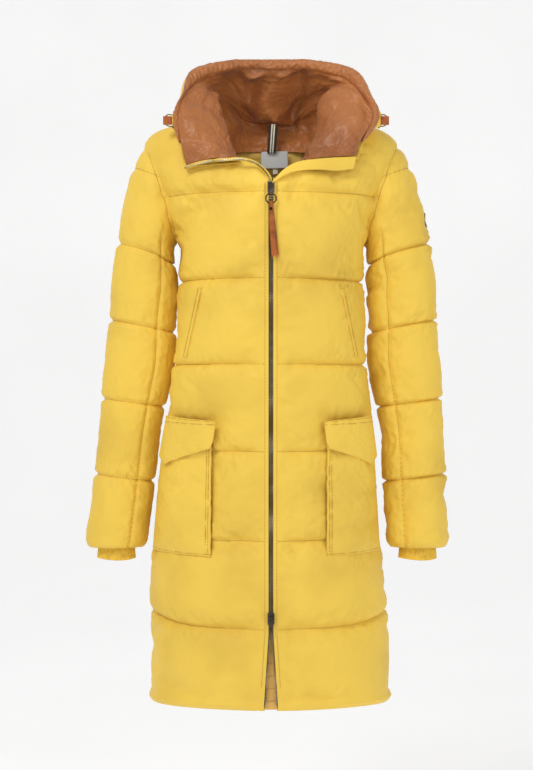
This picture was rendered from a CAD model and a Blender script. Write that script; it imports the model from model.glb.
import math

import bmesh
import bpy
import numpy as np
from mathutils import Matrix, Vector
from mathutils.bvhtree import BVHTree


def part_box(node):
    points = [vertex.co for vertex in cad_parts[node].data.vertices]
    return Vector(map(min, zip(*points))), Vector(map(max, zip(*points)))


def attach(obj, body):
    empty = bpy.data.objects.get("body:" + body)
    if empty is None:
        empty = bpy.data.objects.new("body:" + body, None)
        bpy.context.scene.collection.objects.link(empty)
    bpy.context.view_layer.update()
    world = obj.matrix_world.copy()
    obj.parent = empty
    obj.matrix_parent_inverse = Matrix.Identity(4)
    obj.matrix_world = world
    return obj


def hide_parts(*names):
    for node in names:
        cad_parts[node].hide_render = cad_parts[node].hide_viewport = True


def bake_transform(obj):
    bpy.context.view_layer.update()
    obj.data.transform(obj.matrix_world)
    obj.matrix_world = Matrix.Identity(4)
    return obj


# Looks of a long quilted coat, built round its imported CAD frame.
# Metres, in the CAD's own frame: the front faces -Y, +X is the wearer's left.
# The coat's middle plane lies HANG in front of the hanger loop.

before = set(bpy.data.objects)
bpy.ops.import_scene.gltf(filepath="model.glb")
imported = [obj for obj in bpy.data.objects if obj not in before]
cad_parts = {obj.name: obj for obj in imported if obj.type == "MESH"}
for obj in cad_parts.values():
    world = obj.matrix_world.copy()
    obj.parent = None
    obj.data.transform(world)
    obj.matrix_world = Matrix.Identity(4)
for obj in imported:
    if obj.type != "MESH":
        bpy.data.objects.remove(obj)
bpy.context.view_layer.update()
rng = np.random.default_rng(7)

MM = 0.001
HANG = -0.055
SIDES = {"right": -1, "left": 1}

# Height, half width, half depth and middle in Y of the body, in millimetres.
BODY = np.array([
    (-915, 191, 140, 5), (-820, 191, 139, 4), (-705, 184, 136, 1), (-577, 174, 130, -5),
    (-490, 166, 118, -17), (-391, 155, 106, -29), (-300, 149, 113, -22), (-225, 149, 119, -16),
    (-131, 170, 118, -17), (-114, 176, 117, -18), (-62, 197, 94, -8), (-31, 188, 80, -2),
    (2, 104, 76, 6)], float)
# Height, distance from the middle, half width, half depth and tilt of a sleeve.
SLEEVE = np.array([
    (-113.5, 174, 86, 64, 77), (-150, 188, 84, 61, 68), (-190, 196, 74, 57, 55),
    (-240, 200, 61, 51, 35), (-307, 204.5, 54, 47, 0), (-391, 210, 57, 45, 0),
    (-487, 224, 50, 42, 0), (-577, 234, 49.5, 42, 0), (-679, 247, 49, 42, 0)], float)
BODY_SEAMS = (-796, -662, -526, -393, -262, -131)


# ---------------------------------------------------------------- numbers

def catmull(points, per_span):
    """A smooth run of points through the given ones, along the first axis."""
    p = np.asarray(points, float)
    p = np.concatenate([2 * p[:1] - p[1:2], p, 2 * p[-1:] - p[-2:-1]])
    out = []
    for i in range(1, len(p) - 2):
        for k in range(per_span):
            t = k / per_span
            a, b, c, d = p[i - 1], p[i], p[i + 1], p[i + 2]
            out.append(0.5 * (2 * b + (c - a) * t + (2 * a - 5 * b + 4 * c - d) * t * t
                              + (3 * b - a - 3 * c + d) * t ** 3))
    out.append(p[-2])
    return np.array(out)


def even(points, count):
    """The same run of rows, picked again at even steps along its mean length."""
    step = np.linalg.norm(np.diff(points, axis=0), axis=-1)
    while step.ndim > 1:
        step = step.mean(axis=-1)
    length = np.concatenate([[0], np.cumsum(step)])
    want = np.linspace(0, length[-1], count)
    flat = points.reshape(len(points), -1)
    rows = np.stack([np.interp(want, length, flat[:, k]) for k in range(flat.shape[1])], axis=1)
    return rows.reshape((count,) + points.shape[1:])


def patch(net, columns, rows):
    """A smooth grid of columns x rows points through a net of points."""
    dense = even(catmull(net, 24), columns)
    turned = even(catmull(np.swapaxes(dense, 0, 1), 24), rows)
    return np.swapaxes(turned, 0, 1)


def to_place(grid):
    """Millimetres about the coat's middle to metres in the frame."""
    out = np.array(grid, float) * MM
    out[..., 1] += HANG
    return out


def smoothstep(t):
    t = np.clip(t, 0, 1)
    return t * t * (3 - 2 * t)


def ripple(points, scale, seed, octaves=3):
    """Smooth noise at each point, between about -1 and 1."""
    wave = np.random.default_rng(seed)
    total = np.zeros(points.shape[:-1])
    for octave in range(octaves):
        for _ in range(7):
            direction = wave.normal(size=3)
            direction *= 2 ** octave / scale / np.linalg.norm(direction)
            phase = wave.uniform(0, 6.28)
            total += np.sin(points @ direction * 6.28 + phase) / 2.6 / 1.8 ** octave
    return total / 2


# ----------------------------------------------------------------- meshes

def grid_object(name, grid, wrap=False, flip=False):
    """A mesh over a columns x rows grid of points. Wrap joins the last column to the first."""
    columns, rows = grid.shape[:2]
    number = np.arange(columns * rows).reshape(columns, rows)
    if wrap:
        number = np.concatenate([number, number[:1]])
    a, b = number[:-1, :-1], number[1:, :-1]
    c, d = number[1:, 1:], number[:-1, 1:]
    faces = np.stack([a, b, c, d] if not flip else [a, d, c, b], axis=-1).reshape(-1, 4)
    mesh = bpy.data.meshes.new(name)
    mesh.from_pydata(grid.reshape(-1, 3).tolist(), [], faces.tolist())
    mesh.update()
    obj = bpy.data.objects.new(name, mesh)
    bpy.context.scene.collection.objects.link(obj)
    return obj


def vertices(obj):
    co = np.zeros(len(obj.data.vertices) * 3)
    obj.data.vertices.foreach_get("co", co)
    return co.reshape(-1, 3)


def apply_modifiers(obj):
    """The object's mesh becomes what its modifiers make of it."""
    graph = bpy.context.evaluated_depsgraph_get()
    graph.update()
    mesh = bpy.data.meshes.new_from_object(obj.evaluated_get(graph))
    obj.modifiers.clear()
    old = obj.data
    obj.data = mesh
    bpy.data.meshes.remove(old)
    obj.data.name = obj.name
    return obj


def smooth_shade(obj):
    obj.data.polygons.foreach_set("use_smooth", [True] * len(obj.data.polygons))
    obj.data.update()


def inflate(obj, pin, pressure, grow, frames=22, bend=0.4, tension=12, mass=0.25):
    """Runs cloth over the mesh: pinned points hold, the rest grows, swells and wrinkles."""
    group = obj.vertex_groups.new(name="pin")
    for index in np.nonzero(pin > 0)[0]:
        group.add([int(index)], float(pin[index]), "REPLACE")
    cloth = obj.modifiers.new("cloth", "CLOTH")
    s = cloth.settings
    s.quality = 6
    s.mass = mass
    s.air_damping = 2
    s.tension_stiffness = tension
    s.compression_stiffness = tension
    s.shear_stiffness = tension * 0.4
    s.bending_stiffness = bend
    s.tension_damping = 6
    s.compression_damping = 6
    s.shear_damping = 6
    s.bending_damping = 1
    s.vertex_group_mass = "pin"
    s.pin_stiffness = 1
    s.use_pressure = True
    s.uniform_pressure_force = pressure
    s.shrink_min = -grow
    s.effector_weights.gravity = 0
    cloth.collision_settings.use_collision = False
    cloth.collision_settings.use_self_collision = False
    cloth.point_cache.frame_start = 1
    cloth.point_cache.frame_end = frames + 1
    scene = bpy.context.scene
    for number in range(1, frames + 1):
        scene.frame_set(number)
    apply_modifiers(obj)
    scene.frame_set(1)
    obj.vertex_groups.clear()


def swell(name, grid, pin, pressure, grow, wrap=False, flip=False, cap=0.03, **how):
    """The grid after the cloth run, with no point further than cap from its start."""
    seed = grid + 0.0004 * rng.normal(size=grid.shape) * (1 - pin)[..., None]
    obj = grid_object(name, seed, wrap, flip)
    inflate(obj, pin.reshape(-1), pressure, grow, **how)
    after = vertices(obj).reshape(grid.shape)
    bpy.data.objects.remove(obj)
    moved = after - grid
    size = np.linalg.norm(moved, axis=-1, keepdims=True)
    return grid + moved * np.minimum(1, cap / np.maximum(size, 1e-9))


def soften(grid, times, wrap=False, keep=None):
    """Averages each inner point a little with its neighbours."""
    out = grid.copy()
    for _ in range(times):
        near = out.copy()
        near[1:-1, 1:-1] = (out[:-2, 1:-1] + out[2:, 1:-1] + out[1:-1, :-2] + out[1:-1, 2:]) / 4
        if wrap:
            near[0, 1:-1] = (out[-1, 1:-1] + out[1, 1:-1] + out[0, :-2] + out[0, 2:]) / 4
            near[-1, 1:-1] = (out[-2, 1:-1] + out[0, 1:-1] + out[-1, :-2] + out[-1, 2:]) / 4
        weight = 0.5 if keep is None else 0.5 * (1 - keep)[..., None]
        out = out + (near - out) * weight
    return out


def finer(grid, wrap=False):
    """The same smooth surface with a new point between every two along both axes."""
    return np.swapaxes(halved(np.swapaxes(halved(grid, wrap), 0, 1), False), 0, 1)


def halved(grid, wrap):
    if wrap:
        a, b, c, d = (np.roll(grid, shift, axis=0) for shift in (1, 0, -1, -2))
        middle = (9 * (b + c) - a - d) / 16
        return np.stack([grid, middle], axis=1).reshape((-1,) + grid.shape[1:])
    padded = np.concatenate([2 * grid[:1] - grid[1:2], grid, 2 * grid[-1:] - grid[-2:-1]])
    middle = (9 * (padded[1:-2] + padded[2:-1]) - padded[:-3] - padded[3:]) / 16
    out = np.empty((2 * len(grid) - 1,) + grid.shape[1:])
    out[::2] = grid
    out[1::2] = middle
    return out


def drop_faces(obj, cut):
    """Deletes the faces whose middle the cut names, and what they leave loose."""
    middles = np.zeros(len(obj.data.polygons) * 3)
    obj.data.polygons.foreach_get("center", middles)
    gone = cut(middles.reshape(-1, 3))
    work = bmesh.new()
    work.from_mesh(obj.data)
    work.faces.ensure_lookup_table()
    bmesh.ops.delete(work, geom=[work.faces[i] for i in np.nonzero(gone)[0]], context="FACES")
    loose = [v for v in work.verts if not v.link_faces]
    bmesh.ops.delete(work, geom=loose, context="VERTS")
    work.to_mesh(obj.data)
    work.free()


def cloth_piece(name, grid, thickness, material, body, wrap=False, flip=False, levels=1, cut=None):
    """A closed, softly subdivided sheet of that thickness over the grid, inside of its face."""
    obj = grid_object(name, grid, wrap, flip)
    if levels:
        finer = obj.modifiers.new("finer", "SUBSURF")
        finer.levels = levels
        finer.render_levels = levels
        apply_modifiers(obj)
    if cut is not None:
        drop_faces(obj, cut)
    solid = obj.modifiers.new("thickness", "SOLIDIFY")
    solid.thickness = thickness
    solid.offset = -1
    solid.use_even_offset = False
    apply_modifiers(obj)
    smooth_shade(obj)
    obj.data.materials.append(material)
    if body:
        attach(obj, body)
    return obj


# -------------------------------------------------------------- materials

def srgb(r, g, b):
    def one(v):
        v /= 255
        return v / 12.92 if v <= 0.04045 else ((v + 0.055) / 1.055) ** 2.4
    return one(r), one(g), one(b), 1


class Nodes:
    """Short calls for building one material's nodes."""

    def __init__(self, name):
        self.material = bpy.data.materials.new(name)
        self.material.use_nodes = True
        self.tree = self.material.node_tree
        self.shader = self.tree.nodes["Principled BSDF"]
        self.place = self.tree.nodes.new("ShaderNodeTexCoord").outputs["Object"]

    def add(self, kind, values=None, **settings):
        node = self.tree.nodes.new(kind)
        for key, value in settings.items():
            setattr(node, key, value)
        for key, value in (values or {}).items():
            if isinstance(value, bpy.types.NodeSocket):
                self.tree.links.new(value, node.inputs[key])
            else:
                node.inputs[key].default_value = value
        return node

    def mapped(self, scale, rotation=(0, 0, 0)):
        return self.add("ShaderNodeMapping", {
            "Vector": self.place, "Scale": scale, "Rotation": rotation}).outputs["Vector"]

    def noise(self, scale, detail=4, vector=None, distortion=0):
        return self.add("ShaderNodeTexNoise", {
            "Vector": vector or self.place, "Scale": scale, "Detail": detail,
            "Distortion": distortion}).outputs["Fac"]

    def wave(self, scale, direction, vector=None, distortion=0):
        return self.add("ShaderNodeTexWave", {
            "Vector": vector or self.place, "Scale": scale, "Distortion": distortion,
            "Detail": 1, "Detail Scale": 2}, bands_direction=direction).outputs["Fac"]

    def math(self, operation, a, b):
        return self.add("ShaderNodeMath", {0: a, 1: b}, operation=operation).outputs[0]

    def ramp(self, factor, *stops):
        node = self.add("ShaderNodeValToRGB", {"Fac": factor})
        while len(node.color_ramp.elements) < len(stops):
            node.color_ramp.elements.new(0.5)
        for element, (place, colour) in zip(node.color_ramp.elements, stops):
            element.position = place
            element.color = colour
        return node.outputs["Color"]

    def bump(self, height, strength, distance, below=None):
        values = {"Height": height, "Strength": strength, "Distance": distance}
        if below is not None:
            values["Normal"] = below
        return self.add("ShaderNodeBump", values).outputs["Normal"]

    def set(self, **values):
        for key, value in values.items():
            socket = self.shader.inputs[key.replace("_", " ")]
            if isinstance(value, bpy.types.NodeSocket):
                self.tree.links.new(value, socket)
            else:
                socket.default_value = value
        return self.material


def shades(colour, dark, light):
    r, g, b = colour
    low = srgb(r * dark, g * dark ** 1.25, b * dark ** 1.6)
    high = srgb(min(255, r * light), min(255, g * light), min(255, b * light))
    return low, srgb(r, g, b), high


def woven(name, colour, rough, sheen, wrinkle=0.0006, thread=900, dark=0.95, light=1.02,
          coat=0.0, metallic=0.0):
    """Closely woven cloth: thread bump, small wrinkles, slightly uneven dye."""
    n = Nodes(name)
    low, mid, high = shades(colour, dark, light)
    cloud = n.noise(9, 5)
    dye = n.ramp(cloud, (0.3, low), (0.5, mid), (0.72, high))
    warp = n.wave(thread, "X")
    weft = n.wave(thread, "Z")
    weave = n.math("ADD", warp, weft)
    crush = n.noise(42, 8, distortion=0.8)
    first = n.bump(crush, 0.6, wrinkle)
    second = n.bump(weave, 0.18, 0.00012, first)
    glint = n.ramp(n.noise(60, 3), (0.3, (rough - 0.05,) * 3 + (1,)), (0.7, (rough + 0.06,) * 3 + (1,)))
    return n.set(Base_Color=dye, Roughness=glint, Normal=second, Sheen_Weight=sheen,
                 Sheen_Roughness=0.4, Specular_IOR_Level=0.35, Coat_Weight=coat, Coat_Roughness=0.35,
                 Metallic=metallic)


def metal(name, colour, rough, scratch=0.0001):
    """Plated zip metal with fine scratches and worn, lighter patches."""
    n = Nodes(name)
    low, mid, high = shades(colour, 0.7, 1.5)
    worn = n.ramp(n.noise(26, 9), (0.4, low), (0.52, mid), (0.64, high))
    lines = n.noise(900, 2, n.mapped((1, 1, 0.1)))
    gloss = n.ramp(n.noise(500, 3), (0.3, (rough,) * 3 + (1,)), (0.7, (rough + 0.2,) * 3 + (1,)))
    return n.set(Base_Color=worn, Metallic=1.0, Roughness=gloss, Normal=n.bump(lines, 0.3, scratch))


def leather(name, colour):
    """Tan leather: pores, creases and a rubbed surface."""
    n = Nodes(name)
    low, mid, high = shades(colour, 0.72, 1.2)
    rub = n.ramp(n.noise(60, 6), (0.3, low), (0.5, mid), (0.75, high))
    cells = n.add("ShaderNodeTexVoronoi", {"Vector": n.place, "Scale": 1500.0},
                  feature="DISTANCE_TO_EDGE").outputs["Distance"]
    crease = n.noise(150, 4, n.mapped((1, 1, 0.3)))
    normal = n.bump(cells, 0.35, 0.0002, n.bump(crease, 0.3, 0.0004))
    return n.set(Base_Color=rub, Roughness=0.5, Normal=normal, Specular_IOR_Level=0.4)


def knit(name, colour):
    """Fine rib knit: loops as small crossed waves."""
    n = Nodes(name)
    low, mid, high = shades(colour, 0.92, 1.05)
    tone = n.ramp(n.noise(160, 4), (0.3, low), (0.5, mid), (0.7, high))
    loops = n.math("MULTIPLY", n.wave(420, "Z", distortion=2), n.wave(300, "X"))
    return n.set(Base_Color=tone, Roughness=0.85, Sheen_Weight=0.3, Sheen_Roughness=0.5,
                 Normal=n.bump(loops, 0.6, 0.0006), Specular_IOR_Level=0.25)


YELLOW = (237, 199, 77)
INNER = (203, 164, 66)
BROWN = (168, 104, 56)
SHELL = woven("nylon_yellow", YELLOW, 0.58, 0.04)
LINING = woven("satin_brown", BROWN, 0.34, 0.1, wrinkle=0.0007, dark=0.86, light=1.05)
INSIDE = woven("taffeta_yellow", INNER, 0.42, 0.1, wrinkle=0.0012, dark=0.9)
TAPE = woven("zip_tape_weave", (44, 42, 34), 0.7, 0.1, thread=1500)
GUARD = woven("guard_taffeta", (226, 178, 92), 0.5, 0.1, wrinkle=0.0009)
DARK_METAL = metal("zip_gunmetal", (150, 147, 134), 0.22)
SLIDER = metal("slider_gunmetal", (82, 74, 68), 0.25)
BRASS = metal("aged_brass", (74, 60, 46), 0.32)
LEATHER = leather("tan_leather", (158, 84, 32))
RIB = knit("rib_knit", (252, 208, 74))
CORD = woven("round_cord", (156, 134, 48), 0.75, 0.2, thread=2200)
LABEL = woven("label_satin", (190, 192, 188), 0.45, 0.2, wrinkle=0.0003, thread=2500)
LOOP = woven("loop_tape", (34, 32, 32), 0.7, 0.3, thread=2500)
CREAM = woven("loop_stripe", (214, 206, 180), 0.7, 0.2, thread=2500)
BADGE = woven("badge_weave", (66, 60, 54), 0.6, 0.2, thread=2500)
THREAD = woven("thread_yellow", (192, 142, 44), 0.7, 0.1, thread=3000)
BROWN_THREAD = woven("thread_brown", (150, 96, 60), 0.6, 0.3, thread=3000)


# -------------------------------------------------------- camera and cords

def make_camera():
    camera = bpy.data.objects.new("camera", bpy.data.cameras.new("camera"))
    camera.location = (-0.0068, HANG - 2.5, -0.425)
    camera.rotation_euler = (math.pi / 2, 0, 0)
    camera.data.lens = 73.05
    bpy.context.scene.collection.objects.link(camera)
    bpy.context.scene.camera = camera


# The drawcord's ears: out from the side of the coat, the coat's y, and height.
CORD_ROUTE = ((0, -70, -6), (7, -72.5, -3.5), (14, -74, -8.5), (15, -75, -17.5), (9, -74, -24),
              (1, -71, -23))
CORD_OUT = {"right": 151, "left": 167}


def make_side_cord(side):
    """A short free loop of round cord, from the hood's eyelet through the toggle and back."""
    sign = SIDES[side]
    points = [(sign * (CORD_OUT[side] + x) * MM, y * MM + HANG, z * MM) for x, y, z in CORD_ROUTE]
    curve = bpy.data.curves.new(f"drawcord_ear_{side}", "CURVE")
    curve.dimensions = "3D"
    spline = curve.splines.new("NURBS")
    spline.points.add(len(points) - 1)
    for point, place in zip(spline.points, points):
        point.co = (*place, 1)
    spline.order_u = 3
    spline.use_endpoint_u = True
    curve.bevel_depth = 0.001
    curve.bevel_resolution = 4
    curve.resolution_u = 16
    obj = bpy.data.objects.new(curve.name, curve)
    bpy.context.scene.collection.objects.link(obj)
    obj.data.materials.append(CORD)
    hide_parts(f"side_cord_{side}")
    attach(obj, "coat")


make_camera()
for side in SIDES:
    make_side_cord(side)


# ------------------------------------------------------------------- body

def outline(table, per_span=40):
    """A dense smooth table of stations, from the hem up."""
    return catmull(table, per_span)


BODY_LINE = outline(BODY)
# The skirt hangs a little towards the wearer's right, and its hem is lowest at the sides.
LEAN_HEIGHTS = (300, 391, 470, 530, 590, 665, 716, 767, 800, 915)
LEAN = (0, -2.5, -3, -4.5, -6, -7, -6.5, -5, -2, -1)
HEM_DROP = 7


def body_stations(heights):
    """Half width, half depth and middle at those heights, for the run below the shoulder."""
    low = BODY_LINE[: 40 * 10 + 1]
    return [np.interp(heights, low[:, 0], low[:, k]) for k in (1, 2, 3)]


def settled(x, z, half):
    """x and z once the skirt's lean and the hem's drop at the sides are added."""
    share = np.abs(x) / half
    drop = HEM_DROP * share ** 4 * np.clip((-796 - z) / 119, 0, 1)
    return x + np.interp(-z, LEAN_HEIGHTS, LEAN) * share, z - drop


def zip_spread(z):
    """How far each front edge has drawn away from the middle below the lower slider."""
    return 7.2 * np.clip((-800 - z) / 115, 0, 1)


def body_rows():
    """Row stations from the hem to the neck, with a row on each quilting seam."""
    knots = [-915.0, *BODY_SEAMS, -60.0]
    heights = []
    for low, high in zip(knots[:-1], knots[1:]):
        count = max(4, round((high - low) / 5.6))
        heights += list(np.linspace(low, high, count, endpoint=False))
    seams = [int(np.argmin(np.abs(np.array(heights) - s))) for s in BODY_SEAMS]
    half, depth, middle = body_stations(np.array(heights))
    rows = np.stack([np.array(heights), half, depth, middle], axis=1)
    top = even(BODY_LINE[40 * 10:], 26)
    return np.concatenate([rows, top]), seams


def body_grid(rows):
    """Right front edge round the back to the left front edge, for every row."""
    edge = 3.5 + zip_spread(rows[:, 0])
    half = rows[:, 1]
    first = np.arcsin(edge / half)
    second = np.arcsin((edge + 5.6) / half)
    side = np.full(len(rows), math.pi / 2)
    spans = [(first, second, 3), (second, side, 43), (side, np.full(len(rows), math.pi), 44)]
    angles = [a + (b - a) * k / count for a, b, count in spans for k in range(count)]
    angles.append(np.full(len(rows), math.pi))
    angles = np.array(angles)
    angles = np.concatenate([angles, 2 * math.pi - angles[-2::-1]])
    x = -rows[:, 1] * np.sin(angles)
    y = rows[:, 3] - rows[:, 2] * np.cos(angles)
    z = np.repeat(rows[None, :, 0], len(angles), axis=0)
    x, z = settled(x, z, half[None])
    return np.stack([x, y, z], axis=-1), angles


def normals_of(grid, wrap=False):
    along = np.gradient(grid, axis=0)
    up = np.gradient(grid, axis=1)
    if wrap:
        along[0] = (grid[1] - grid[-1]) / 2
        along[-1] = (grid[0] - grid[-2]) / 2
    n = np.cross(up, along)
    return n / np.maximum(np.linalg.norm(n, axis=-1, keepdims=True), 1e-9)


def nearness(grid, rows, columns, reach):
    """How near each point lies to a seam row or seam column, from 0 to 1."""
    near = np.zeros(grid.shape[:2])
    for row in rows:
        step = np.linalg.norm(grid - grid[:, row: row + 1], axis=-1)
        near = np.maximum(near, np.exp(-step / reach))
    for column in columns:
        step = np.linalg.norm(grid - grid[column: column + 1], axis=-1)
        near = np.maximum(near, np.exp(-step / reach))
    return near


def pucker(grid, outward, rows, columns, height, reach, wave, seed, slant=0.5, upright=0.35):
    """Small slanting gathers that die away from each seam row and seam column."""
    near = nearness(grid, rows, columns, reach)
    stretched = grid.copy()
    along = grid[..., 0] + grid[..., 1]
    if len(rows):
        stretched[..., 0] += slant * np.abs(grid[..., 2]) * np.sign(grid[..., 0])
        stretched[..., 2] *= upright
    else:
        stretched[..., 2] += slant * along * np.sign(grid[..., 0])
        stretched[..., 0] *= upright
    crease = np.maximum(0.5 - np.abs(ripple(stretched, wave, seed, 2)) * 2.2, -0.6)
    patchy = np.clip(0.55 + 0.9 * ripple(grid, 0.09, seed + 5, 2), 0.1, 1.3)
    hold = 1 - np.exp(-np.maximum(0, -np.log(np.maximum(near, 1e-6))) * 4)
    return grid + outward * (height * crease * near * hold * patchy)[..., None]


def groove(grid, outward, rows, columns, depth, reach=0.0035):
    """Draws the cloth sharply in along its seams."""
    near = nearness(grid, rows, columns, reach)
    return grid - outward * (depth * near)[..., None]


# Loose creases pressed into the front: x and height at each end, half width and depth in
# millimetres, all about the coat's middle.
FOLDS = (
    (9, -478, 62, -524, 5, 1.7), (12, -494, 40, -524, 4, 1.3), (6, -446, 34, -470, 5, 1.2),
    (-84, -600, -44, -574, 5, 1.6), (-50, -592, -14, -570, 5, 1.3), (-86, -566, -60, -572, 4, 1.2),
    (-70, -648, -52, -660, 4, 1.3), (-40, -628, -12, -612, 5, 1.4), (14, -600, 46, -626, 5, 1.4),
    (58, -640, 84, -622, 5, 1.3), (12, -560, 38, -584, 5, 1.2), (20, -646, 56, -656, 4, 1.2),
    (-152, -172, -122, -212, 6, 2.2), (-158, -196, -132, -184, 5, 1.6), (-146, -240, -118, -252, 5, 1.6),
    (-120, -262, -88, -284, 5, 1.5), (112, -258, 138, -212, 6, 2.2), (120, -250, 150, -236, 5, 1.6),
    (100, -276, 128, -268, 5, 1.4), (104, -330, 140, -300, 6, 1.3), (-140, -410, -108, -436, 6, 1.5),
    (120, -404, 146, -440, 6, 1.5), (-60, -812, -20, -800, 5, 1.4), (10, -806, 30, -846, 5, 1.7),
    (12, -850, 34, -884, 5, 1.5), (60, -790, 120, -762, 6, 1.6), (-130, -770, -96, -800, 6, 1.7),
    (-110, -906, -80, -880, 6, 1.6), (-60, -908, -44, -884, 5, 1.4), (90, -900, 116, -876, 6, 1.4),
    (-90, -720, -40, -706, 6, 1.2), (30, -706, 84, -722, 6, 1.2))


def press_folds(grid, outward):
    """A narrow valley with a low ridge beside it along each loose crease."""
    x, z = grid[..., 0] / MM, grid[..., 2] / MM
    depth = np.zeros(x.shape)
    for x1, z1, x2, z2, wide, deep in FOLDS:
        length = math.hypot(x2 - x1, z2 - z1)
        share = ((x - x1) * (x2 - x1) + (z - z1) * (z2 - z1)) / length ** 2
        off = ((x - x1) * (z2 - z1) - (z - z1) * (x2 - x1)) / length
        ends = smoothstep(share / 0.3) * smoothstep((1 - share) / 0.4)
        valley = np.exp(-(off / (0.6 * wide)) ** 2) - 0.7 * np.exp(-((off - 1.5 * wide) / wide) ** 2)
        depth -= deep * ends * valley
    front = smoothstep((HANG - 0.02 - grid[..., 1]) / 0.02)
    return grid + outward * (depth * MM * front)[..., None]


def make_body():
    rows, seams = body_rows()
    grid, angles = body_grid(rows)
    columns, count = grid.shape[:2]
    z = grid[..., 2]
    outward = normals_of(grid)
    if (outward[columns // 4, 20] * (grid[columns // 4, 20] - grid[:, 20].mean(axis=0))).sum() < 0:
        outward = -outward
    seam_row = np.zeros(count, bool)
    seam_row[seams] = True
    side_a, side_b = 46, columns - 47
    pin = np.zeros((columns, count))
    pin[:, seam_row] = 1
    pin[:4] = 1
    pin[-4:] = 1
    pin[:, 0] = 1
    pin[:, -1] = 1
    pocket = (np.abs(grid[..., 0]) > 92) & (grid[..., 1] < -30) & (z > -676) & (z < -478)
    pin[pocket] = 1
    lapel = (z > -80) & (grid[..., 1] < 20) & (np.abs(grid[..., 0]) < 130)
    pin[lapel] = 1
    x, y = np.abs(grid[..., 0]), grid[..., 1]
    flat = smoothstep((x - 13) / 26) + (y > 0)
    shoulder = smoothstep((z + 215) / 90) * smoothstep((x - 95) / 50)
    puff = np.clip(flat, 0, 1)
    depth = (0.6 * (1 - puff) - 4.5 * puff) * (1 - 0.9 * shoulder)
    depth[:, seam_row] -= (4 * puff * (1 - 0.85 * shoulder))[:, seam_row]
    depth[:, :2] = 1.5
    depth[side_a, :] -= 1.5
    depth[side_b, :] -= 1.5
    depth[pocket] = -8
    base = (grid + outward * depth[..., None]) * MM
    base[..., 1] += HANG
    # The lowest seam rises a little towards the sides.
    lift = 0.014 * np.sin(angles[:, :1]) ** 6
    base[..., 2] += lift * np.exp(-((rows[:, 0] * MM + 0.796) / 0.05) ** 2)[None]
    after = swell("body_cloth", base, pin, pressure=5.0, grow=0.045, flip=True, cap=0.017)
    after = soften(after, 1, keep=pin * (depth > -7.9))
    fine, out = finer(after), finer(outward)
    open_cloth = finer((((z < -100) & (x > 10) | (y > 0)) & ~pocket).astype(float)[..., None])
    seams_2, sides_2 = [2 * row for row in seams], (2 * side_a, 2 * side_b)
    edges_2 = (6, len(fine) - 7)
    worked = pucker(fine, out, seams_2, (), 0.0046, 0.020, 0.017, 41)
    worked = pucker(worked, out, (), sides_2, 0.0036, 0.018, 0.020, 42)
    worked = pucker(worked, out, (), edges_2, 0.0030, 0.013, 0.013, 44, slant=0.6)
    worked = press_folds(worked, out)
    worked = worked + out * (0.0011 * ripple(worked, 0.11, 45, 2))[..., None]
    worked = groove(worked, out, seams_2, sides_2, 0.0016)
    fine = fine + (worked - fine) * np.clip(open_cloth, 0, 1)
    return fine, out, rows, seams_2, 2 * side_a, 2 * side_b


def returned(grid, inward, steps, at_end):
    """Adds rows that curl inward past the first or last row."""
    edge = grid[:, -1] if at_end else grid[:, 0]
    extra = [edge + inward * a + np.array([0, 0, b]) for a, b in steps]
    extra = np.stack(extra, axis=1)
    if at_end:
        return np.concatenate([grid, extra], axis=1)
    return np.concatenate([extra[:, ::-1], grid], axis=1)


BODY_CLOTH, BODY_OUT, BODY_ROWS, SEAM_ROWS, SIDE_A, SIDE_B = make_body()


# The neck's edge on the front, from right to left: x and height in millimetres.
NECK_EDGE = np.array([(-104, -8), (-92, -45), (-78, -66), (-60, -74), (-47, -79), (-38, -81), (-19, -91),
                      (-2, -108), (8, -113), (27, -99), (44, -88), (58, -80), (78, -66), (92, -45),
                      (104, -8)], float)


def in_neck(points):
    """Points of the front inside the neck's opening."""
    x, z = points[:, 0] / MM, points[:, 2] / MM
    edge = np.interp(x, NECK_EDGE[:, 0], NECK_EDGE[:, 1])
    front = (np.abs(x) < 104) & (z > edge) & (points[:, 1] < HANG + 0.01)
    return front | ((np.abs(x) < 110) & (z > -24) & (points[:, 1] >= HANG + 0.01))


def in_neck_or_nape(points):
    """The same, with the lining's back cut lower, along the neck facing."""
    x, z = np.abs(points[:, 0]) / MM, points[:, 2] / MM
    nape = (x < 84) & (z > -46) & (points[:, 1] >= HANG + 0.01)
    return in_neck_or_sleeve(points) | nape


def in_armhole(points):
    """Points of the body well inside a sleeve's head."""
    x, y, z = np.abs(points[:, 0]) / MM, (points[:, 1] - HANG) / MM, points[:, 2] / MM
    ring = SLEEVE[0]
    lean = math.radians(ring[4])
    up = (x - ring[1]) * math.cos(lean) + (z - ring[0]) * math.sin(lean)
    out = (x - ring[1]) * math.sin(lean) - (z - ring[0]) * math.cos(lean)
    inside = (up / (ring[2] - 20)) ** 2 + ((y - 3) / (ring[3] - 25)) ** 2 < 1
    return inside & (out > -25)


def in_neck_or_sleeve(points):
    return in_neck(points) | in_armhole(points)


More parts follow.
